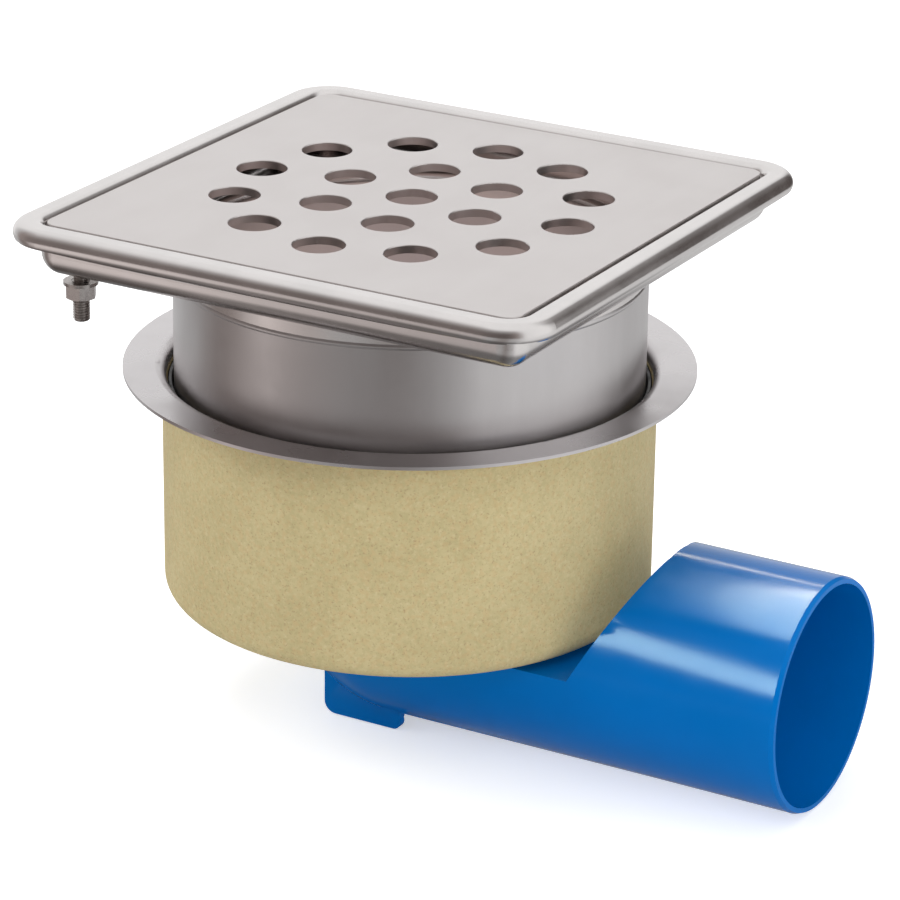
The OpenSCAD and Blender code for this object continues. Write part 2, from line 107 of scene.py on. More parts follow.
class Graph:
    """A material's node tree, with short calls for the nodes that the finishes share."""

    def __init__(self, name: str) -> None:
        """Starts a material with a principled shader.

        Args:
            name: the material's name.
        """
        self.material = bpy.data.materials.new(name)
        self.material.use_nodes = True
        self.tree = self.material.node_tree
        self.tree.nodes.clear()
        self.output = self.add("ShaderNodeOutputMaterial")
        self.shader = self.add("ShaderNodeBsdfPrincipled")
        self.join(self.shader.outputs["BSDF"], self.output.inputs["Surface"])
        self.coords = self.add("ShaderNodeTexCoord").outputs["Object"]

    def add(self, kind: str, **settings: object) -> bpy.types.Node:
        """Adds one node.

        Args:
            kind: the node's type name.
            settings: values for the node's own properties.

        Returns:
            The new node.
        """
        node = self.tree.nodes.new(kind)
        for key, value in settings.items():
            setattr(node, key, value)
        return node

    def join(self, source: bpy.types.NodeSocket, target: bpy.types.NodeSocket) -> None:
        """Links two sockets."""
        self.tree.links.new(source, target)

    def place(self, centre: Vector, stretch: Point = (1.0, 1.0, 1.0)) -> bpy.types.NodeSocket:
        """Object coordinates about a centre, stretched along each axis.

        Args:
            centre: the point that the pattern is centred on.
            stretch: the factor on each axis.

        Returns:
            The vector socket.
        """
        shift = self.add("ShaderNodeMapping")
        shift.inputs["Location"].default_value = -centre
        self.join(self.coords, shift.inputs["Vector"])
        scale = self.add("ShaderNodeMapping")
        scale.inputs["Scale"].default_value = stretch
        self.join(shift.outputs["Vector"], scale.inputs["Vector"])
        return scale.outputs["Vector"]

    def noise(self, scale: float, detail: float = 3.0, roughness: float = 0.5,
              vector: bpy.types.NodeSocket | None = None) -> bpy.types.NodeSocket:
        """A noise pattern.

        Args:
            scale: waves to a metre.
            detail: number of finer layers.
            roughness: strength of the finer layers.
            vector: the coordinates, or None for object coordinates.

        Returns:
            The pattern's value socket.
        """
        node = self.add("ShaderNodeTexNoise")
        node.inputs["Scale"].default_value = scale
        node.inputs["Detail"].default_value = detail
        node.inputs["Roughness"].default_value = roughness
        self.join(vector or self.coords, node.inputs["Vector"])
        return node.outputs["Fac"]

    def spots(self, scale: float) -> bpy.types.NodeSocket:
        """Distance to scattered points, for pits.

        Args:
            scale: points to a metre.

        Returns:
            The distance's socket.
        """
        node = self.add("ShaderNodeTexVoronoi")
        node.inputs["Scale"].default_value = scale
        self.join(self.coords, node.inputs["Vector"])
        return node.outputs["Distance"]

    def remap(self, source: bpy.types.NodeSocket, low: float, high: float, out_low: float,
              out_high: float) -> bpy.types.NodeSocket:
        """Maps a value from one range to another, held at its ends.

        Args:
            source: the value.
            low: the range's start.
            high: the range's end.
            out_low: the result at the start.
            out_high: the result at the end.

        Returns:
            The result's socket.
        """
        node = self.add("ShaderNodeMapRange", interpolation_type="SMOOTHSTEP")
        for key, value in (("From Min", low), ("From Max", high), ("To Min", out_low), ("To Max", out_high)):
            node.inputs[key].default_value = value
        self.join(source, node.inputs["Value"])
        return node.outputs["Result"]

    def math(self, operation: str, *terms: bpy.types.NodeSocket | float) -> bpy.types.NodeSocket:
        """One arithmetic step on sockets or numbers.

        Args:
            operation: the step's name.
            terms: the sockets or numbers, in order.

        Returns:
            The result's socket.
        """
        node = self.add("ShaderNodeMath", operation=operation)
        for socket, term in zip(node.inputs, terms):
            if isinstance(term, (int, float)):
                socket.default_value = term
            else:
                self.join(term, socket)
        return node.outputs["Value"]

    def blend(self, amount: bpy.types.NodeSocket, first: bpy.types.NodeSocket | Colour,
              second: bpy.types.NodeSocket | Colour) -> bpy.types.NodeSocket:
        """Mixes two colours.

        Args:
            amount: 0 for the first colour, 1 for the second.
            first: a colour or its socket.
            second: a colour or its socket.

        Returns:
            The mixed colour's socket.
        """
        node = self.add("ShaderNodeMix", data_type="RGBA")
        self.join(amount, node.inputs["Factor"])
        for socket, colour in ((node.inputs["A"], first), (node.inputs["B"], second)):
            if isinstance(colour, tuple):
                socket.default_value = (*colour, 1.0)
            else:
                self.join(colour, socket)
        return node.outputs["Result"]

    def bump(self, height: bpy.types.NodeSocket, depth: float, strength: float = 1.0,
             under: bpy.types.NodeSocket | None = None) -> bpy.types.NodeSocket:
        """A bump of a real depth.

        Args:
            height: the height, from 0 to 1.
            depth: the height of 1, in metres.
            strength: share of the bump that is used.
            under: another bump's normal that this one lies on.

        Returns:
            The normal's socket.
        """
        node = self.add("ShaderNodeBump")
        node.inputs["Distance"].default_value = depth
        node.inputs["Strength"].default_value = strength
        self.join(height, node.inputs["Height"])
        if under is not None:
            self.join(under, node.inputs["Normal"])
        return node.outputs["Normal"]

    def set(self, **values: object) -> None:
        """Sets or links the shader's sockets.

        Args:
            values: a number, colour or socket for each socket's name, where an underscore stands for a space.
        """
        for key, value in values.items():
            socket = self.shader.inputs[key.replace("_", " ")]
            if isinstance(value, bpy.types.NodeSocket):
                self.join(value, socket)
            elif isinstance(value, tuple):
                socket.default_value = (*value, 1.0)
            else:
                socket.default_value = value


@dataclass(frozen=True)
class SheetSteel:
    """Stainless sheet with soft clouds, a fine grain and a faint rolling direction."""

    name: str
    light: Colour
    dark: Colour
    roughness: float
    cloud_scale: float = 26.0
    grain_scale: float = 1900.0
    grain_depth: float = 0.000012
    grain_share: float = 0.06
    roll: Point = (1.0, 1.0, 1.0)
    roll_scale: float = 90.0
    roll_share: float = 0.25
    uneven: float = 0.06

    def make(self) -> bpy.types.Material:
        """Builds the finish.

        Returns:
            The material.
        """
        graph = Graph(self.name)
        cloud = graph.noise(self.cloud_scale, 4.0, 0.55)
        rolled = graph.noise(self.roll_scale, 3.0, 0.6, graph.place(Vector(), self.roll))
        grain = graph.noise(self.grain_scale, 2.0, 0.6)
        mixed = graph.math("ADD", graph.math("MULTIPLY", rolled, self.roll_share),
                           graph.math("MULTIPLY", cloud, 1.0 - self.roll_share))
        tone = graph.remap(mixed, 0.36, 0.64, 0.0, 1.0)
        fine = graph.remap(grain, *NOISE_SPAN, -self.grain_share, self.grain_share)
        smooth, rough = self.roughness - self.uneven, self.roughness + self.uneven
        graph.set(
            Metallic=1.0,
            Base_Color=graph.blend(graph.math("ADD", tone, fine), self.dark, self.light),
            Roughness=graph.remap(cloud, *NOISE_SPAN, smooth, rough),
            Normal=graph.bump(grain, self.grain_depth),
        )
        return graph.material


@dataclass(frozen=True)
class TurnedSteel:
    """Turned or rolled fastener steel with fine rings round its axis."""

    name: str
    light: Colour
    dark: Colour
    axis_at: tuple[float, float]
    ring_scale: float = 1500.0
    ring_depth: float = 0.000006
    ring_drift: float = 2.0
    stain_scale: float = 420.0
    roughness: float = 0.3
    smoother: float = 0.08
    rougher: float = 0.1

    def make(self) -> bpy.types.Material:
        """Builds the finish.

        Returns:
            The material.
        """
        graph = Graph(self.name)
        about = graph.place(Vector((*self.axis_at, 0.0)))
        rings = graph.add("ShaderNodeTexWave", wave_type="RINGS", rings_direction="Z")
        rings.inputs["Scale"].default_value = self.ring_scale
        rings.inputs["Distortion"].default_value = self.ring_drift
        graph.join(about, rings.inputs["Vector"])
        stain = graph.noise(self.stain_scale, 3.0, 0.6)
        graph.set(
            Metallic=1.0,
            Base_Color=graph.blend(graph.remap(stain, *NOISE_CORE, 0.0, 1.0), self.dark, self.light),
            Roughness=graph.remap(stain, *NOISE_SPAN, self.roughness - self.smoother,
                                  self.roughness + self.rougher),
            Normal=graph.bump(rings.outputs["Fac"], self.ring_depth),
        )
        return graph.material


@dataclass(frozen=True)
class Speck:
    """One kind of speck in cast stone.

    It starts to show where its pattern passes low, and at high its tint takes its whole share of the colour.
    """

    tint: Colour
    scale: float
    low: float
    high: float
    share: float


OLIVE = Speck((0.32, 0.27, 0.12), 430.0, 0.42, 0.66, 0.22)
RUST = Speck((0.54, 0.335, 0.155), 360.0, 0.46, 0.66, 0.26)
BROWN = Speck((0.30, 0.185, 0.085), 1000.0, 0.56, 0.74, 0.50)
PALE = Speck((0.62, 0.54, 0.32), 620.0, 0.54, 0.74, 0.34)


@dataclass(frozen=True)
class PolymerConcrete:
    """Cast resin concrete: a beige ground with specks and small pits."""

    name: str = "cast_stone"
    ground: Colour = (0.53, 0.445, 0.235)
    deep: Colour = (0.48, 0.40, 0.205)
    specks: tuple[Speck, ...] = (OLIVE, RUST, BROWN, PALE)
    speck_step: Point = (0.37, 0.11, 0.23)
    roughness: float = 0.72
    smoother: float = 0.1
    rougher: float = 0.12
    cloud_scale: float = 24.0
    grain_scale: float = 1500.0
    grain_depth: float = 0.00007
    pit_scale: float = 260.0
    pit_reach: float = 0.12
    pit_depth: float = 0.00005
    pit_strength: float = 0.35

    def make(self) -> bpy.types.Material:
        """Builds the finish.

        Returns:
            The material.
        """
        graph = Graph(self.name)
        cloud = graph.remap(graph.noise(self.cloud_scale, 4.0, 0.6), *NOISE_CORE, 0.0, 1.0)
        colour = graph.blend(cloud, self.deep, self.ground)
        for index, speck in enumerate(self.specks):
            place = graph.place(Vector((index + 1, index, index)) * Vector(self.speck_step))
            pattern = graph.noise(speck.scale, 2.0, 0.5, place)
            shown = graph.remap(pattern, speck.low, speck.high, 0.0, speck.share)
            colour = graph.blend(shown, colour, speck.tint)
        grain = graph.noise(self.grain_scale, 3.0, 0.65)
        pits = graph.remap(graph.spots(self.pit_scale), 0.0, self.pit_reach, 0.0, 1.0)
        normal = graph.bump(grain, self.grain_depth)
        graph.set(
            Base_Color=colour,
            Roughness=graph.remap(grain, *NOISE_SPAN, self.roughness - self.smoother,
                                  self.roughness + self.rougher),
            Specular_IOR_Level=0.35,
            Normal=graph.bump(pits, self.pit_depth, self.pit_strength, normal),
        )
        return graph.material


@dataclass(frozen=True)
class MouldedPlastic:
    """Injection-moulded plastic with a faint ripple and a soft drift of colour and gloss."""

    name: str
    light: Colour
    dark: Colour
    roughness: float
    ripple: float
    texture: float = 0.0
    ior: float = 1.45
    gloss_tint: Colour = WHITE
    drift_scale: float = 18.0
    sheen_scale: float = 90.0
    ripple_scale: float = 70.0
    texture_scale: float = 1700.0
    smoother: float = 0.02
    rougher: float = 0.03

    def make(self) -> bpy.types.Material:
        """Builds the finish.

        Returns:
            The material.
        """
        graph = Graph(self.name)
        drift = graph.noise(self.drift_scale, 3.0, 0.5)
        sheen = graph.noise(self.sheen_scale, 3.0, 0.5, graph.place(Vector(), (0.5, 1.0, 1.0)))
        normal = graph.bump(graph.noise(self.ripple_scale, 1.0, 0.4), self.ripple)
        if self.texture:
            normal = graph.bump(graph.noise(self.texture_scale, 2.0, 0.6), self.texture, 1.0, normal)
        graph.set(
            Base_Color=graph.blend(graph.remap(drift, *NOISE_SPAN, 0.0, 1.0), self.dark, self.light),
            Roughness=graph.remap(sheen, *NOISE_SPAN, self.roughness - self.smoother,
                                  self.roughness + self.rougher),
            IOR=self.ior,
            Specular_Tint=self.gloss_tint,
            Normal=normal,
        )
        return graph.material


@dataclass(frozen=True)
class SealRubber:
    """Black sealing rubber with a dusty bloom and a fine skin."""

    name: str = "seal_black"
    black: Colour = (0.012, 0.012, 0.013)
    bloom: Colour = (0.045, 0.043, 0.042)
    roughness: float = 0.42
    dusty: float = 0.25
    bloom_scale: float = 160.0
    skin_scale: float = 2400.0
    skin_depth: float = 0.00001

    def make(self) -> bpy.types.Material:
        """Builds the finish.

        Returns:
            The material.
        """
        graph = Graph(self.name)
        bloom = graph.remap(graph.noise(self.bloom_scale, 4.0, 0.65), 0.45, 0.75, 0.0, 1.0)
        graph.set(
            Base_Color=graph.blend(bloom, self.black, self.bloom),
            Roughness=graph.remap(bloom, 0.0, 1.0, self.roughness, self.roughness + self.dusty),
            Normal=graph.bump(graph.noise(self.skin_scale, 2.0, 0.6), self.skin_depth),
        )
        return graph.material


def finish_mesh(bm: bmesh.types.BMesh, name: str, sharp_deg: float = 32.0) -> bpy.types.Object:
    """Turns a bmesh into a smooth-shaded object with sharp edges kept.

    Args:
        bm: the mesh, which is freed.
        name: the piece's name.
        sharp_deg: edges that turn further stay sharp.

    Returns:
        The new object at the origin.
    """
    mesh = bpy.data.meshes.new(name)
    bm.to_mesh(mesh)
    bm.free()
    mesh.shade_smooth()
    mesh.set_sharp_from_angle(angle=math.radians(sharp_deg))
    piece = bpy.data.objects.new(name, mesh)
    bpy.context.scene.collection.objects.link(piece)
    return piece


def merged_copy(node: bpy.types.Object, reach: float = 1e-6, flat_deg: float = 0.05) -> bmesh.types.BMesh:
    """A frame node's mesh with its corners merged and its flat faces joined.

    Args:
        node: the frame node.
        reach: corners that lie closer than this are merged.
        flat_deg: faces that turn less than this are joined.

    Returns:
        The new bmesh.
    """
    bm = bmesh.new()
    bm.from_mesh(node.data)
    bmesh.ops.remove_doubles(bm, verts=bm.verts, dist=reach)
    bmesh.ops.dissolve_limit(bm, angle_limit=math.radians(flat_deg), use_dissolve_boundaries=False,
                             verts=bm.verts, edges=bm.edges, delimit=set())
    return bm


WARM_SHIFT = (0.08, -0.08, -0.13)


@dataclass(frozen=True)
class Tone:
    """How bright the studio's wall or floor looks in steel, from one direction."""

    azimuth_deg: float
    level: float
    warmth: float = 0.0

    @property
    def place(self) -> float:
        """The direction as a share of a turn, from -180 to 180 degrees."""
        return self.azimuth_deg / 360.0 + 0.5

    @property
    def colour(self) -> tuple[float, float, float, float]:
        """The tone, slightly brown where it is warm."""
        red, green, blue = (self.level * (1.0 + self.warmth * shift) for shift in WARM_SHIFT)
        return red, green, blue, 1.0


WALL_TONES = (
    Tone(-180.0, 0.62), Tone(-162.0, 0.30, 1.0), Tone(-130.0, 0.20, 1.0), Tone(-95.0, 0.15, 1.0),
    Tone(-60.0, 0.12, 1.0), Tone(-42.0, 0.24, 1.0), Tone(-27.0, 0.95), Tone(28.0, 1.0), Tone(42.0, 0.60),
    Tone(51.0, 0.09, 1.0), Tone(85.0, 0.09, 1.0), Tone(95.0, 0.85), Tone(104.0, 1.0), Tone(165.0, 1.0),
    Tone(180.0, 0.62),
)
FLOOR_TONES = (
    Tone(-180.0, 0.62), Tone(-160.0, 0.22, 1.0), Tone(-148.0, 0.24, 1.0), Tone(-136.0, 0.60, 0.6),
    Tone(-127.0, 0.80, 0.6), Tone(-116.0, 0.58, 0.6), Tone(-106.0, 0.50, 0.6), Tone(-88.0, 0.46),
    Tone(-65.0, 0.29, 0.5), Tone(-45.0, 0.50), Tone(-26.0, 0.88), Tone(20.0, 0.86), Tone(65.0, 0.66),
    Tone(90.0, 0.70), Tone(120.0, 0.9), Tone(164.0, 0.66), Tone(180.0, 0.50),
)


@dataclass(frozen=True)
class SoftBox:
    """A soft box that stands at one point and faces another, with its length along a direction.

    The size is its length and width in metres, and the power is in watts. A box that is past_outlet throws no
    shadow of the outlet.
    """

    name: str
    at: Point
    target: Point
    size: tuple[float, float]
    power: float
    along: Point = (1.0, 0.0, 0.0)
    past_outlet: bool = False


MIDDLE = (0.0, 0.0, -0.03)
PIPE = (0.18, -0.04, -0.08)
ROOM_BOXES = (
    SoftBox("top_box", (-0.5, 0.1, 1.9), MIDDLE, (1.3, 1.3), 18.0),
    SoftBox("front_box", (0.85, -1.3, 1.6), MIDDLE, (1.2, 1.0), 5.8, past_outlet=True),
    SoftBox("right_box", (1.9, -0.35, 0.6), MIDDLE, (0.4, 0.4), 11.5, past_outlet=True),
    SoftBox("left_box", (-1.5, -0.95, 1.0), MIDDLE, (0.9, 0.9), 11.0),
)
INSIDE_GLOW = SoftBox("inside_glow", (0.0, 0.0, -0.006), (0.0, 0.0, 1.0), (0.2, 0.2), 0.052)
GLOW_COLOUR = (1.0, 0.80, 0.76)
SHINE_BOXES = (
    SoftBox("shine_strip", (-0.182, -0.772, 0.309), PIPE, (0.5, 0.17), 11.5, (0.62, -0.42, -0.66)),
    SoftBox("shine_box", (0.025, 0.176, 0.43), (0.025, 0.176, 0.0), (0.78, 0.14), 12.5, (-0.054, 0.998, 0.0)),
    SoftBox("shine_edge", (-0.19, 0.70, 0.40), PIPE, (0.5, 0.04), 1.1, (1.0, 0.1, 0.0)),
)
SHINE_COLOUR = (0.92, 0.80, 0.60)


@dataclass
class Studio:
    """Pale floor, soft lamps, the studio that shows in the steel, and the camera."""

    floor_z: float
    floor_r: float = 9.0
    floor_steps: int = 96
    floor_white: tuple[float, float] = (0.93, 0.95)
    floor_glow: float = 0.42
    air_colour: Colour = (0.97, 0.985, 1.0)
    air_light: float = 0.62
    lens: float = 156.4155
    sensor: float = 36.0
    far_clip: float = 50.0
    yaw_deg: float = -29.5247
    pitch_deg: float = 21.6406
    roll_deg: float = 0.785
    stand: Point = (0.858766, -1.477585, 0.633381)
    wall_r: float = 1.1
    wall_low: float = 0.25
    wall_high: float = 2.2
    wall_steps: int = 128
    ground_lift: float = 0.002
    shade_r: float = 0.34
    shade_end: float = 0.50
    shade_level: float = 0.30
    shade_colour: Colour = (0.02, 0.017, 0.016)

    def place_camera(self) -> None:
        """Sets the camera up and makes it the scene's."""
        yaw, pitch, roll = (math.radians(a) for a in (self.yaw_deg, self.pitch_deg, self.roll_deg))
        ahead = Vector((math.sin(yaw) * math.cos(pitch), math.cos(yaw) * math.cos(pitch), -math.sin(pitch)))
        level = Vector((math.cos(yaw), -math.sin(yaw), 0.0))
        right = math.cos(roll) * level + math.sin(roll) * level.cross(ahead)
        up = right.cross(ahead)
        data = bpy.data.cameras.new("camera")
        data.lens, data.sensor_width, data.clip_end = self.lens, self.sensor, self.far_clip
        camera = bpy.data.objects.new("camera", data)
        turn = Matrix((right, up, -ahead)).transposed().to_4x4()
        camera.matrix_world = Matrix.Translation(self.stand) @ turn
        bpy.context.scene.collection.objects.link(camera)
        bpy.context.scene.camera = camera

    def lamp(self, box: SoftBox) -> bpy.types.Object:
        """Hangs one soft box, which shows in no reflection unless it is told to.

        Args:
            box: the soft box.

        Returns:
            The lamp.
        """
        data = bpy.data.lights.new(box.name, "AREA")
        data.shape, data.size, data.size_y, data.energy = "RECTANGLE", *box.size, box.power
        lamp = bpy.data.objects.new(box.name, data)
        back = (Vector(box.at) - Vector(box.target)).normalized()
        side = (Vector(box.along) - Vector(box.along).dot(back) * back).normalized()
        turn = Matrix((side, back.cross(side), back)).transposed().to_4x4()
        lamp.matrix_world = Matrix.Translation(box.at) @ turn
        lamp.visible_glossy = False
        bpy.context.scene.collection.objects.link(lamp)
        return lamp

    def group(self, name: str, pieces: Iterable[bpy.types.Object]) -> bpy.types.Collection:
        """Puts pieces in a collection that a lamp can be tied to.

        Args:
            name: the collection's name.
            pieces: the pieces.

        Returns:
            The collection.
        """
        collection = bpy.data.collections.new(name)
        for piece in pieces:
            collection.objects.link(piece)
        return collection

    def show_in_steel(self, bm: bmesh.types.BMesh, name: str, tones: tuple[Tone, ...],
                      fade: Callable[[Graph], tuple[bpy.types.NodeSocket, Colour]]) -> None:
        """Makes a studio surface that only reflections show.

        Args:
            bm: the surface's mesh, which is freed.
            name: the surface's name.
            tones: how bright it is all round.
            fade: gives the tones' share at each point, and the colour of the rest.
        """
        surface = finish_mesh(bm, name)
        graph = Graph(name)
        graph.tree.nodes.remove(graph.shader)
        around = graph.add("ShaderNodeTexGradient", gradient_type="RADIAL")
        graph.join(graph.coords, around.inputs["Vector"])
        ramp = graph.add("ShaderNodeValToRGB")
        ramp.color_ramp.interpolation = "EASE"
        marks = ramp.color_ramp.elements
        for spare in list(marks)[1:]:
            marks.remove(spare)
        for index, tone in enumerate(tones):
            mark = marks[0] if index == 0 else marks.new(tone.place)
            mark.position, mark.color = tone.place, tone.colour
        graph.join(around.outputs["Fac"], ramp.inputs["Fac"])
        glow = graph.add("ShaderNodeEmission")
        graph.join(graph.blend(*fade(graph), ramp.outputs["Color"]), glow.inputs["Color"])
        graph.join(glow.outputs["Emission"], graph.output.inputs["Surface"])
        surface.data.materials.append(graph.material)
        surface.visible_camera = surface.visible_diffuse = surface.visible_shadow = False
        surface.visible_transmission = False
        surface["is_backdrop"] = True

    def towards_white(self, graph: Graph) -> tuple[bpy.types.NodeSocket, Colour]:
        """Lets the wall's tones give way to white higher up.

        Args:
            graph: the wall's material.

        Returns:
            The tones' share at each point, and white.
        """
        split = graph.add("ShaderNodeSeparateXYZ")
        graph.join(graph.coords, split.inputs["Vector"])
        share = graph.remap(split.outputs["Z"], self.wall_low, self.wall_high, 1.0, 0.0)
        return share, WHITE

    def towards_shade(self, graph: Graph) -> tuple[bpy.types.NodeSocket, Colour]:
        """Lets the ground's tones give way to shade under the drain.

        Args:
            graph: the ground's material.

        Returns:
            The tones' share at each point, and the shade's colour.
        """
        away = graph.add("ShaderNodeVectorMath", operation="LENGTH")
        graph.join(graph.coords, away.inputs[0])
        share = graph.remap(away.outputs["Value"], self.shade_r, self.shade_end, self.shade_level, 1.0)
        return share, self.shade_colour

    def surround(self) -> None:
        """Sets up the wall and the ground that show in the steel."""
        bm = bmesh.new()
        bmesh.ops.create_cone(bm, cap_ends=False, segments=self.wall_steps, radius1=self.wall_r,
                              radius2=self.wall_r, depth=self.wall_high - self.floor_z)
        bmesh.ops.translate(bm, vec=(0.0, 0.0, (self.wall_high + self.floor_z) / 2), verts=bm.verts)
        self.show_in_steel(bm, "studio_wall", WALL_TONES, self.towards_white)
        bm = bmesh.new()
        bmesh.ops.create_circle(bm, cap_ends=True, segments=self.wall_steps, radius=self.wall_r)
        bmesh.ops.translate(bm, vec=(0.0, 0.0, self.floor_z + self.ground_lift), verts=bm.verts)
        self.show_in_steel(bm, "studio_ground", FLOOR_TONES, self.towards_shade)

    def lay_floor(self) -> None:
        """Lays the pale floor under the feet."""
        bm = bmesh.new()
        bmesh.ops.create_circle(bm, cap_ends=True, segments=self.floor_steps, radius=self.floor_r)
        bmesh.ops.translate(bm, vec=(0.0, 0.0, self.floor_z), verts=bm.verts)
        floor = finish_mesh(bm, "floor")
        graph = Graph("pale_floor")
        tone = graph.remap(graph.noise(3.0, 2.0, 0.5), *NOISE_SPAN, *self.floor_white)
        paint = graph.add("ShaderNodeCombineColor")
        for channel in ("Red", "Green", "Blue"):
            graph.join(tone, paint.inputs[channel])
        graph.set(Base_Color=paint.outputs["Color"], Roughness=0.9, Specular_IOR_Level=0.1)
        path = graph.add("ShaderNodeLightPath")
        seen = graph.math("MAXIMUM", path.outputs["Is Camera Ray"], path.outputs["Is Transmission Ray"])
        glow = graph.math("MULTIPLY", seen, self.floor_glow)
        graph.set(Emission_Color=WHITE, Emission_Strength=glow)
        floor.data.materials.append(graph.material)
        floor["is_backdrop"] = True

    def air(self) -> None:
        """Sets the world: white where it is seen, softer where it lights."""
        world = bpy.data.worlds.new("studio")
        bpy.context.scene.world = world
        world.use_nodes = True
        tree = world.node_tree
        tree.nodes.clear()
        path = tree.nodes.new("ShaderNodeLightPath")
        seen = path.outputs["Is Camera Ray"]
        for kind in ("Is Glossy Ray", "Is Transmission Ray"):
            either = tree.nodes.new("ShaderNodeMath")
            either.operation = "MAXIMUM"
            tree.links.new(seen, either.inputs[0])
            tree.links.new(path.outputs[kind], either.inputs[1])
            seen = either.outputs[0]
        mix = tree.nodes.new("ShaderNodeMixShader")
        tree.links.new(seen, mix.inputs["Fac"])
        skies = ((self.air_colour, self.air_light), (WHITE, 1.0))
        for place, (colour, strength) in enumerate(skies, 1):
            sky = tree.nodes.new("ShaderNodeBackground")
            sky.inputs["Color"].default_value = (*colour, 1.0)
            sky.inputs["Strength"].default_value = strength
            tree.links.new(sky.outputs["Background"], mix.inputs[place])
        end = tree.nodes.new("ShaderNodeOutputWorld")
        tree.links.new(mix.outputs["Shader"], end.inputs["Surface"])

    def light(self) -> None:
        """Hangs the lamps that light the whole part, and the glow of the drain's inside."""
        for box in ROOM_BOXES:
            self.lamp(box)
        glow = self.lamp(INSIDE_GLOW)
        glow.data.shape = "DISK"
        glow.data.color = GLOW_COLOUR
        glow.visible_glossy, glow.visible_camera = True, False

    def light_moulding(self, outlet: bpy.types.Object, nodes: dict[str, bpy.types.Object]) -> None:
        """Hangs the lamps whose reflections show on the moulded outlet, and softens its shadow.

        Args:
            outlet: the dressed outlet.
            nodes: the frame's nodes by name.
        """
        moulded = self.group("moulded", [outlet])
        near = self.group("near_moulded", [outlet, nodes["bowl"]])
        for box in SHINE_BOXES:
            lamp = self.lamp(box)
            lamp.visible_glossy, lamp.visible_diffuse, lamp.visible_camera = True, False, False
            lamp.data.color = SHINE_COLOUR
            lamp.light_linking.receiver_collection = moulded
            lamp.light_linking.blocker_collection = near
        solid = self.group("solid", [node for name, node in nodes.items() if name != Outlet.node])
        for box in ROOM_BOXES:
            if box.past_outlet:
                bpy.data.objects[box.name].light_linking.blocker_collection = solid

    def build(self) -> None:
        """Makes the whole studio."""
        self.place_camera()
        self.lay_floor()
        self.air()
        self.light()
        self.surround()
        view = bpy.context.scene.view_settings
        view.view_transform = "Standard"


@dataclass
class EarthStud:
    """The threaded earth stud under the pan's corner; its profile holds shares of the pitch and the depth."""

    node: str = "earth_stud"
    pitch: float = 0.00125
    depth: float = 0.0007
    point: float = 0.0008
    steps: int = 40
    reach: float = 2e-6
    smooth_deg: float = 24.0
    profile: tuple[tuple[float, float], ...] = (
        (0.0, 1.0), (0.07, 1.0), (0.44, 0.0), (0.57, 0.0), (0.93, 1.0), (1.0, 1.0))

    def build(self) -> bpy.types.Object:
        """Turns the thread and closes its ends.

        Returns:
            The stud.
        """
        low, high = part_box(self.node)
        centre = (low + high) / 2
        radius = (high.x - low.x) / 2
        turns = math.ceil((high.z - low.z) / self.pitch) + 2
        bm = bmesh.new()
        start = low.z - self.pitch
        row = [bm.verts.new((centre.x + radius - cut * self.depth, centre.y, start + share * self.pitch))
               for share, cut in self.profile]
        for first, second in zip(row, row[1:]):
            bm.edges.new((first, second))
        bmesh.ops.spin(bm, geom=bm.verts[:] + bm.edges[:], cent=centre, axis=(0.0, 0.0, 1.0),
                       dvec=(0.0, 0.0, self.pitch / self.steps), angle=math.tau * turns,
                       steps=self.steps * turns, use_duplicate=False)
        bmesh.ops.remove_doubles(bm, verts=bm.verts, dist=self.reach)
        for level, side in ((low.z, -1.0), (high.z, 1.0)):
            cut = bmesh.ops.bisect_plane(bm, geom=bm.verts[:] + bm.edges[:] + bm.faces[:], dist=1e-7,
                                         plane_co=(0.0, 0.0, level), plane_no=(0.0, 0.0, side),
                                         clear_outer=True)
            rim = [item for item in cut["geom_cut"] if isinstance(item, bmesh.types.BMEdge)]
            bmesh.ops.contextual_create(bm, geom=rim)
        bmesh.ops.recalc_face_normals(bm, faces=bm.faces)
        for vert in bm.verts:
            away = Vector((vert.co.x - centre.x, vert.co.y - centre.y))
            limit = radius - self.point + max(0.0, vert.co.z - low.z)
            if away.length > limit:
                away *= limit / away.length
                vert.co.x, vert.co.y = centre.x + away.x, centre.y + away.y
        stud = finish_mesh(bm, "stud_thread", self.smooth_deg)
        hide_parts(self.node)
        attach(stud, Body.TOP.value)
        return stud


@dataclass
class NeckWeld:
    """The weld bead between the pan's neck and the spigot.

    Its crown stands proud of the spigot, its shoulders at a share of that, and its two edges are sunk.
    """

    height: float = 0.0465
    proud: float = 0.0004
    width: float = 0.003
    sunk: float = 0.0002
    shoulder: float = 0.6
    steps: int = 240
    smooth_deg: float = 60.0

    def build(self) -> bpy.types.Object:
        """Spins the bead round the spigot.

        Returns:
            The bead.
        """
        low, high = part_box("spigot")
        radius = (high.x - low.x) / 2
        bm = bmesh.new()
        side = self.shoulder * self.proud
        section = ((-0.5, -self.sunk), (-0.34, side), (0.0, self.proud), (0.34, side), (0.5, -self.sunk))
        row = [bm.verts.new((radius + out, 0.0, self.height + self.width * up)) for up, out in section]
        for first, second in zip(row, row[1:] + row[:1]):
            bm.edges.new((first, second))
        bmesh.ops.spin(bm, geom=bm.verts[:] + bm.edges[:], cent=(0.0, 0.0, 0.0), axis=(0.0, 0.0, 1.0),
                       angle=math.tau, steps=self.steps, use_merge=True, use_duplicate=False)
        bmesh.ops.recalc_face_normals(bm, faces=bm.faces)
        weld = finish_mesh(bm, "neck_weld", self.smooth_deg)
        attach(weld, Body.TOP.value)
        return weld


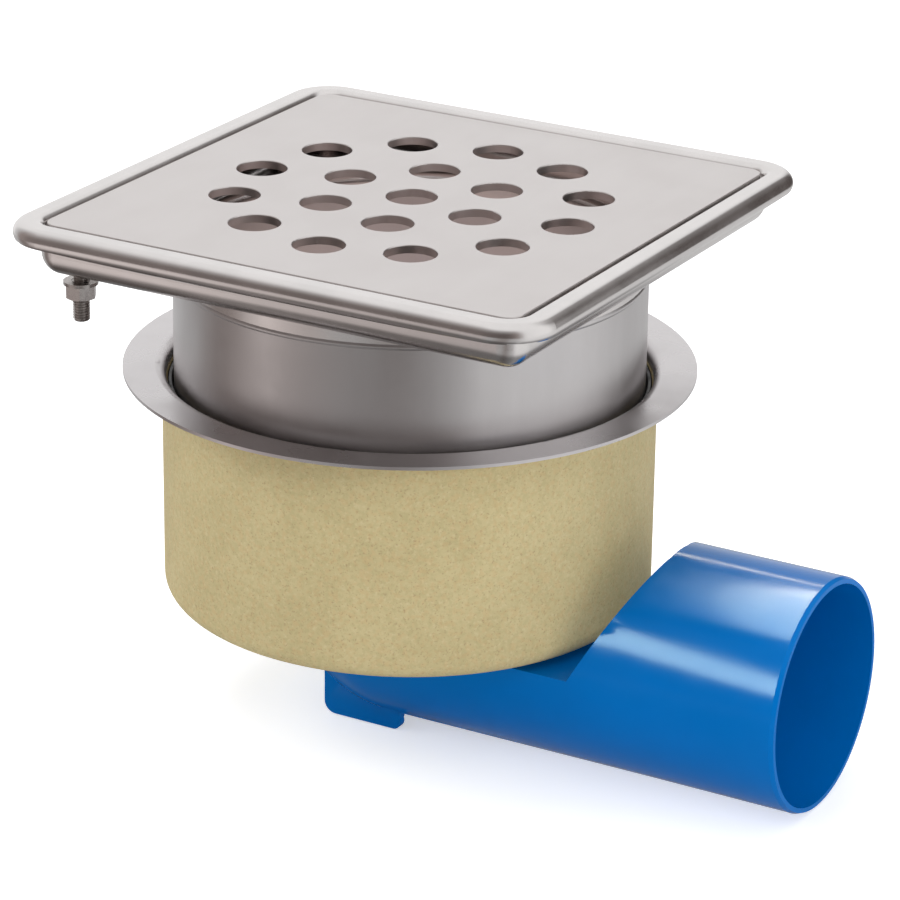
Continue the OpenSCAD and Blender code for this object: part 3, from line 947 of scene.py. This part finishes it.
@dataclass
class Outlet:
    """The blue outlet, with a slight draft on its round body and soft edges on its lid and slanted wall.

    The pipe's axis lies drop below the lid. The body starts at heel_x and is swell wider than the true pipe,
    which starts at free_x, and lead is how far before it the draft ends. The slanted wall rises from slant_x.
    Folds of more than fold_deg are rounded: along the body those near its round surface, and at the heel
    those snug in the lid's plane and more than heel_reach from the drain's axis.
    """

    node: str = "outlet"
    radius: float = 0.055
    swell: float = 0.0006
    lead: float = 0.003
    drop: float = 0.004
    lid_z: float = -0.115
    heel_x: float = 0.007
    heel_reach: float = 0.048
    free_x: float = 0.146
    slant_x: float = 0.1152
    slant_deg: float = 61.6
    near: float = 0.0005
    snug: float = 0.0001
    fold_deg: float = 14.0
    edge_r: float = 0.0050
    edge_clear: float = 0.0015
    segments: int = 8
    smooth_deg: float = 18.0

    def body_radius(self, x: float) -> float:
        """The drafted body's radius.

        Args:
            x: the place along the pipe.

        Returns:
            The radius there.
        """
        share = (x - self.heel_x) / (self.free_x - self.lead - self.heel_x)
        return self.radius + self.swell * (1.0 - min(1.0, max(0.0, share)))

    def reach(self, point: Vector) -> float:
        """A point's distance from the pipe's axis."""
        return math.hypot(point.y, point.z - self.lid_z + self.drop)

    def draft(self, bm: bmesh.types.BMesh) -> None:
        """Tapers the body to the free end, so that no step shows between them.

        Args:
            bm: the outlet's mesh.
        """
        axis_z = self.lid_z - self.drop
        widest = self.radius + self.swell + self.snug
        for vert in bm.verts:
            limit, reach = self.body_radius(vert.co.x), self.reach(vert.co)
            if vert.co.x > self.heel_x and limit < reach < widest:
                vert.co.y *= limit / reach
                vert.co.z = axis_z + (vert.co.z - axis_z) * limit / reach

    def part_slant(self, bm: bmesh.types.BMesh) -> None:
        """Adds an edge loop past the slanted wall's rounding, which keeps the pipe's long faces even.

        Args:
            bm: the outlet's mesh.
        """
        slope = math.radians(self.slant_deg)
        across = Vector((math.sin(slope), 0.0, -math.cos(slope)))
        foot = Vector((self.slant_x, 0.0, self.lid_z))
        bmesh.ops.bisect_plane(bm, geom=bm.verts[:] + bm.edges[:] + bm.faces[:], dist=1e-6, plane_no=across,
                               plane_co=foot + (self.edge_r + self.edge_clear) * across)

    def rim_edges(self, bm: bmesh.types.BMesh) -> list[bmesh.types.BMEdge]:
        """The outer edges between the cut faces and the round body.

        Args:
            bm: the outlet's mesh.

        Returns:
            The edges to round.
        """
        found = []
        for edge in bm.edges:
            if len(edge.link_faces) != 2 or edge.calc_face_angle() < math.radians(self.fold_deg):
                continue
            middle = (edge.verts[0].co + edge.verts[1].co) / 2
            off_body = abs(self.reach(middle) - self.body_radius(middle.x))
            off_lid = abs(middle.z - self.lid_z)
            if middle.x > self.heel_x:
                outer = off_body < self.near and middle.z > self.lid_z - self.near
            else:
                outer = off_lid < self.snug and middle.xy.length > self.heel_reach
            if outer and middle.x < self.free_x + 2 * self.near:
                found.append(edge)
        return found

    def build(self, frame_node: bpy.types.Object) -> bpy.types.Object:
        """Rounds the outlet's outer edges.

        Args:
            frame_node: the plain outlet.

        Returns:
            The rounded outlet.
        """
        bm = merged_copy(frame_node)
        self.draft(bm)
        self.part_slant(bm)
        bmesh.ops.bevel(bm, geom=self.rim_edges(bm), offset=self.edge_r, offset_type="OFFSET", affect="EDGES",
                        segments=self.segments, profile=0.5, material=-1, clamp_overlap=True)
        outlet = finish_mesh(bm, "outlet_body", self.smooth_deg)
        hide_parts(self.node)
        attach(outlet, Body.HOUSING.value)
        return outlet


@dataclass
class Gully:
    """The whole drain: the frame's nodes dressed, and the pieces added to them."""

    nodes: dict[str, bpy.types.Object]
    stud_at: tuple[float, float] = (-0.109, -0.109)
    finishes: dict[Slot, bpy.types.Material] = field(default_factory=dict)

    def make_finishes(self) -> None:
        """Builds every finish once."""
        self.finishes = {
            Slot.PLATE: SheetSteel("plate_satin", (0.665, 0.63, 0.62), (0.64, 0.605, 0.595), 0.36,
                                   roll=(1.0, 0.12, 1.0)).make(),
            Slot.FRAME: SheetSteel("frame_bright", (0.74, 0.71, 0.70), (0.69, 0.665, 0.655), 0.21,
                                   cloud_scale=40.0, uneven=0.04).make(),
            Slot.TUBE: SheetSteel("tube_satin", (0.63, 0.61, 0.61), (0.58, 0.56, 0.56), 0.36,
                                  roll=(1.0, 1.0, 0.15)).make(),
            Slot.FASTENER: TurnedSteel("stud_steel", (0.56, 0.53, 0.51), (0.38, 0.35, 0.34),
                                       self.stud_at).make(),
            Slot.FLANGE: SheetSteel("flange_satin", (0.655, 0.63, 0.635), (0.61, 0.585, 0.59), 0.3).make(),
            Slot.RUBBER: SealRubber().make(),
            Slot.CONCRETE: PolymerConcrete().make(),
            Slot.BLUE: MouldedPlastic("blue_gloss", (0.0, 0.146, 0.488), (0.0, 0.137, 0.458), 0.15, 0.000006,
                                      ior=1.26, gloss_tint=(0.5, 0.8, 1.0)).make(),
            Slot.GREY: MouldedPlastic("grey_satin", (0.27, 0.285, 0.31), (0.23, 0.245, 0.27), 0.4, 0.00002,
                                      texture=0.00002).make(),
        }

    def dress(self, record: dict) -> None:
        """Gives each frame node its finish.

        Args:
            record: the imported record, which names each node's slot.
        """
        for part in record["subparts"]:
            node = self.nodes[part["node"]]
            node.data.materials.clear()
            node.data.materials.append(self.finishes[Slot(part["material_slot"])])
            LOG.info("dressed %s in %s", node.name, part["material_slot"])

    def add_pieces(self) -> None:
        """Builds the pieces that the plain solids lack."""
        pieces = (
            (EarthStud().build(), Slot.FASTENER),
            (NeckWeld().build(), Slot.TUBE),
            (Outlet().build(self.nodes["outlet"]), Slot.BLUE),
        )
        for piece, slot in pieces:
            piece.data.materials.clear()
            piece.data.materials.append(self.finishes[slot])
            LOG.info("built %s", piece.name)


def as_lists(box: Iterable[Iterable[float]]) -> list[list[float]]:
    """A box's corners as plain lists."""
    return [[float(value) for value in corner] for corner in box]


def main() -> None:
    """Builds the scene in order."""
    logging.basicConfig(level=logging.INFO, format="%(message)s")
    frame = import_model()
    solid_box = as_lists(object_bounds())
    studio = Studio(floor_z=solid_box[0][2])
    studio.build()
    gully = Gully(frame["nodes"])
    gully.make_finishes()
    gully.dress(frame["record"])
    gully.add_pieces()
    outlet = bpy.data.objects["outlet_body"]
    studio.light_moulding(outlet, frame["nodes"])


if __name__ == "__main__":
    main()
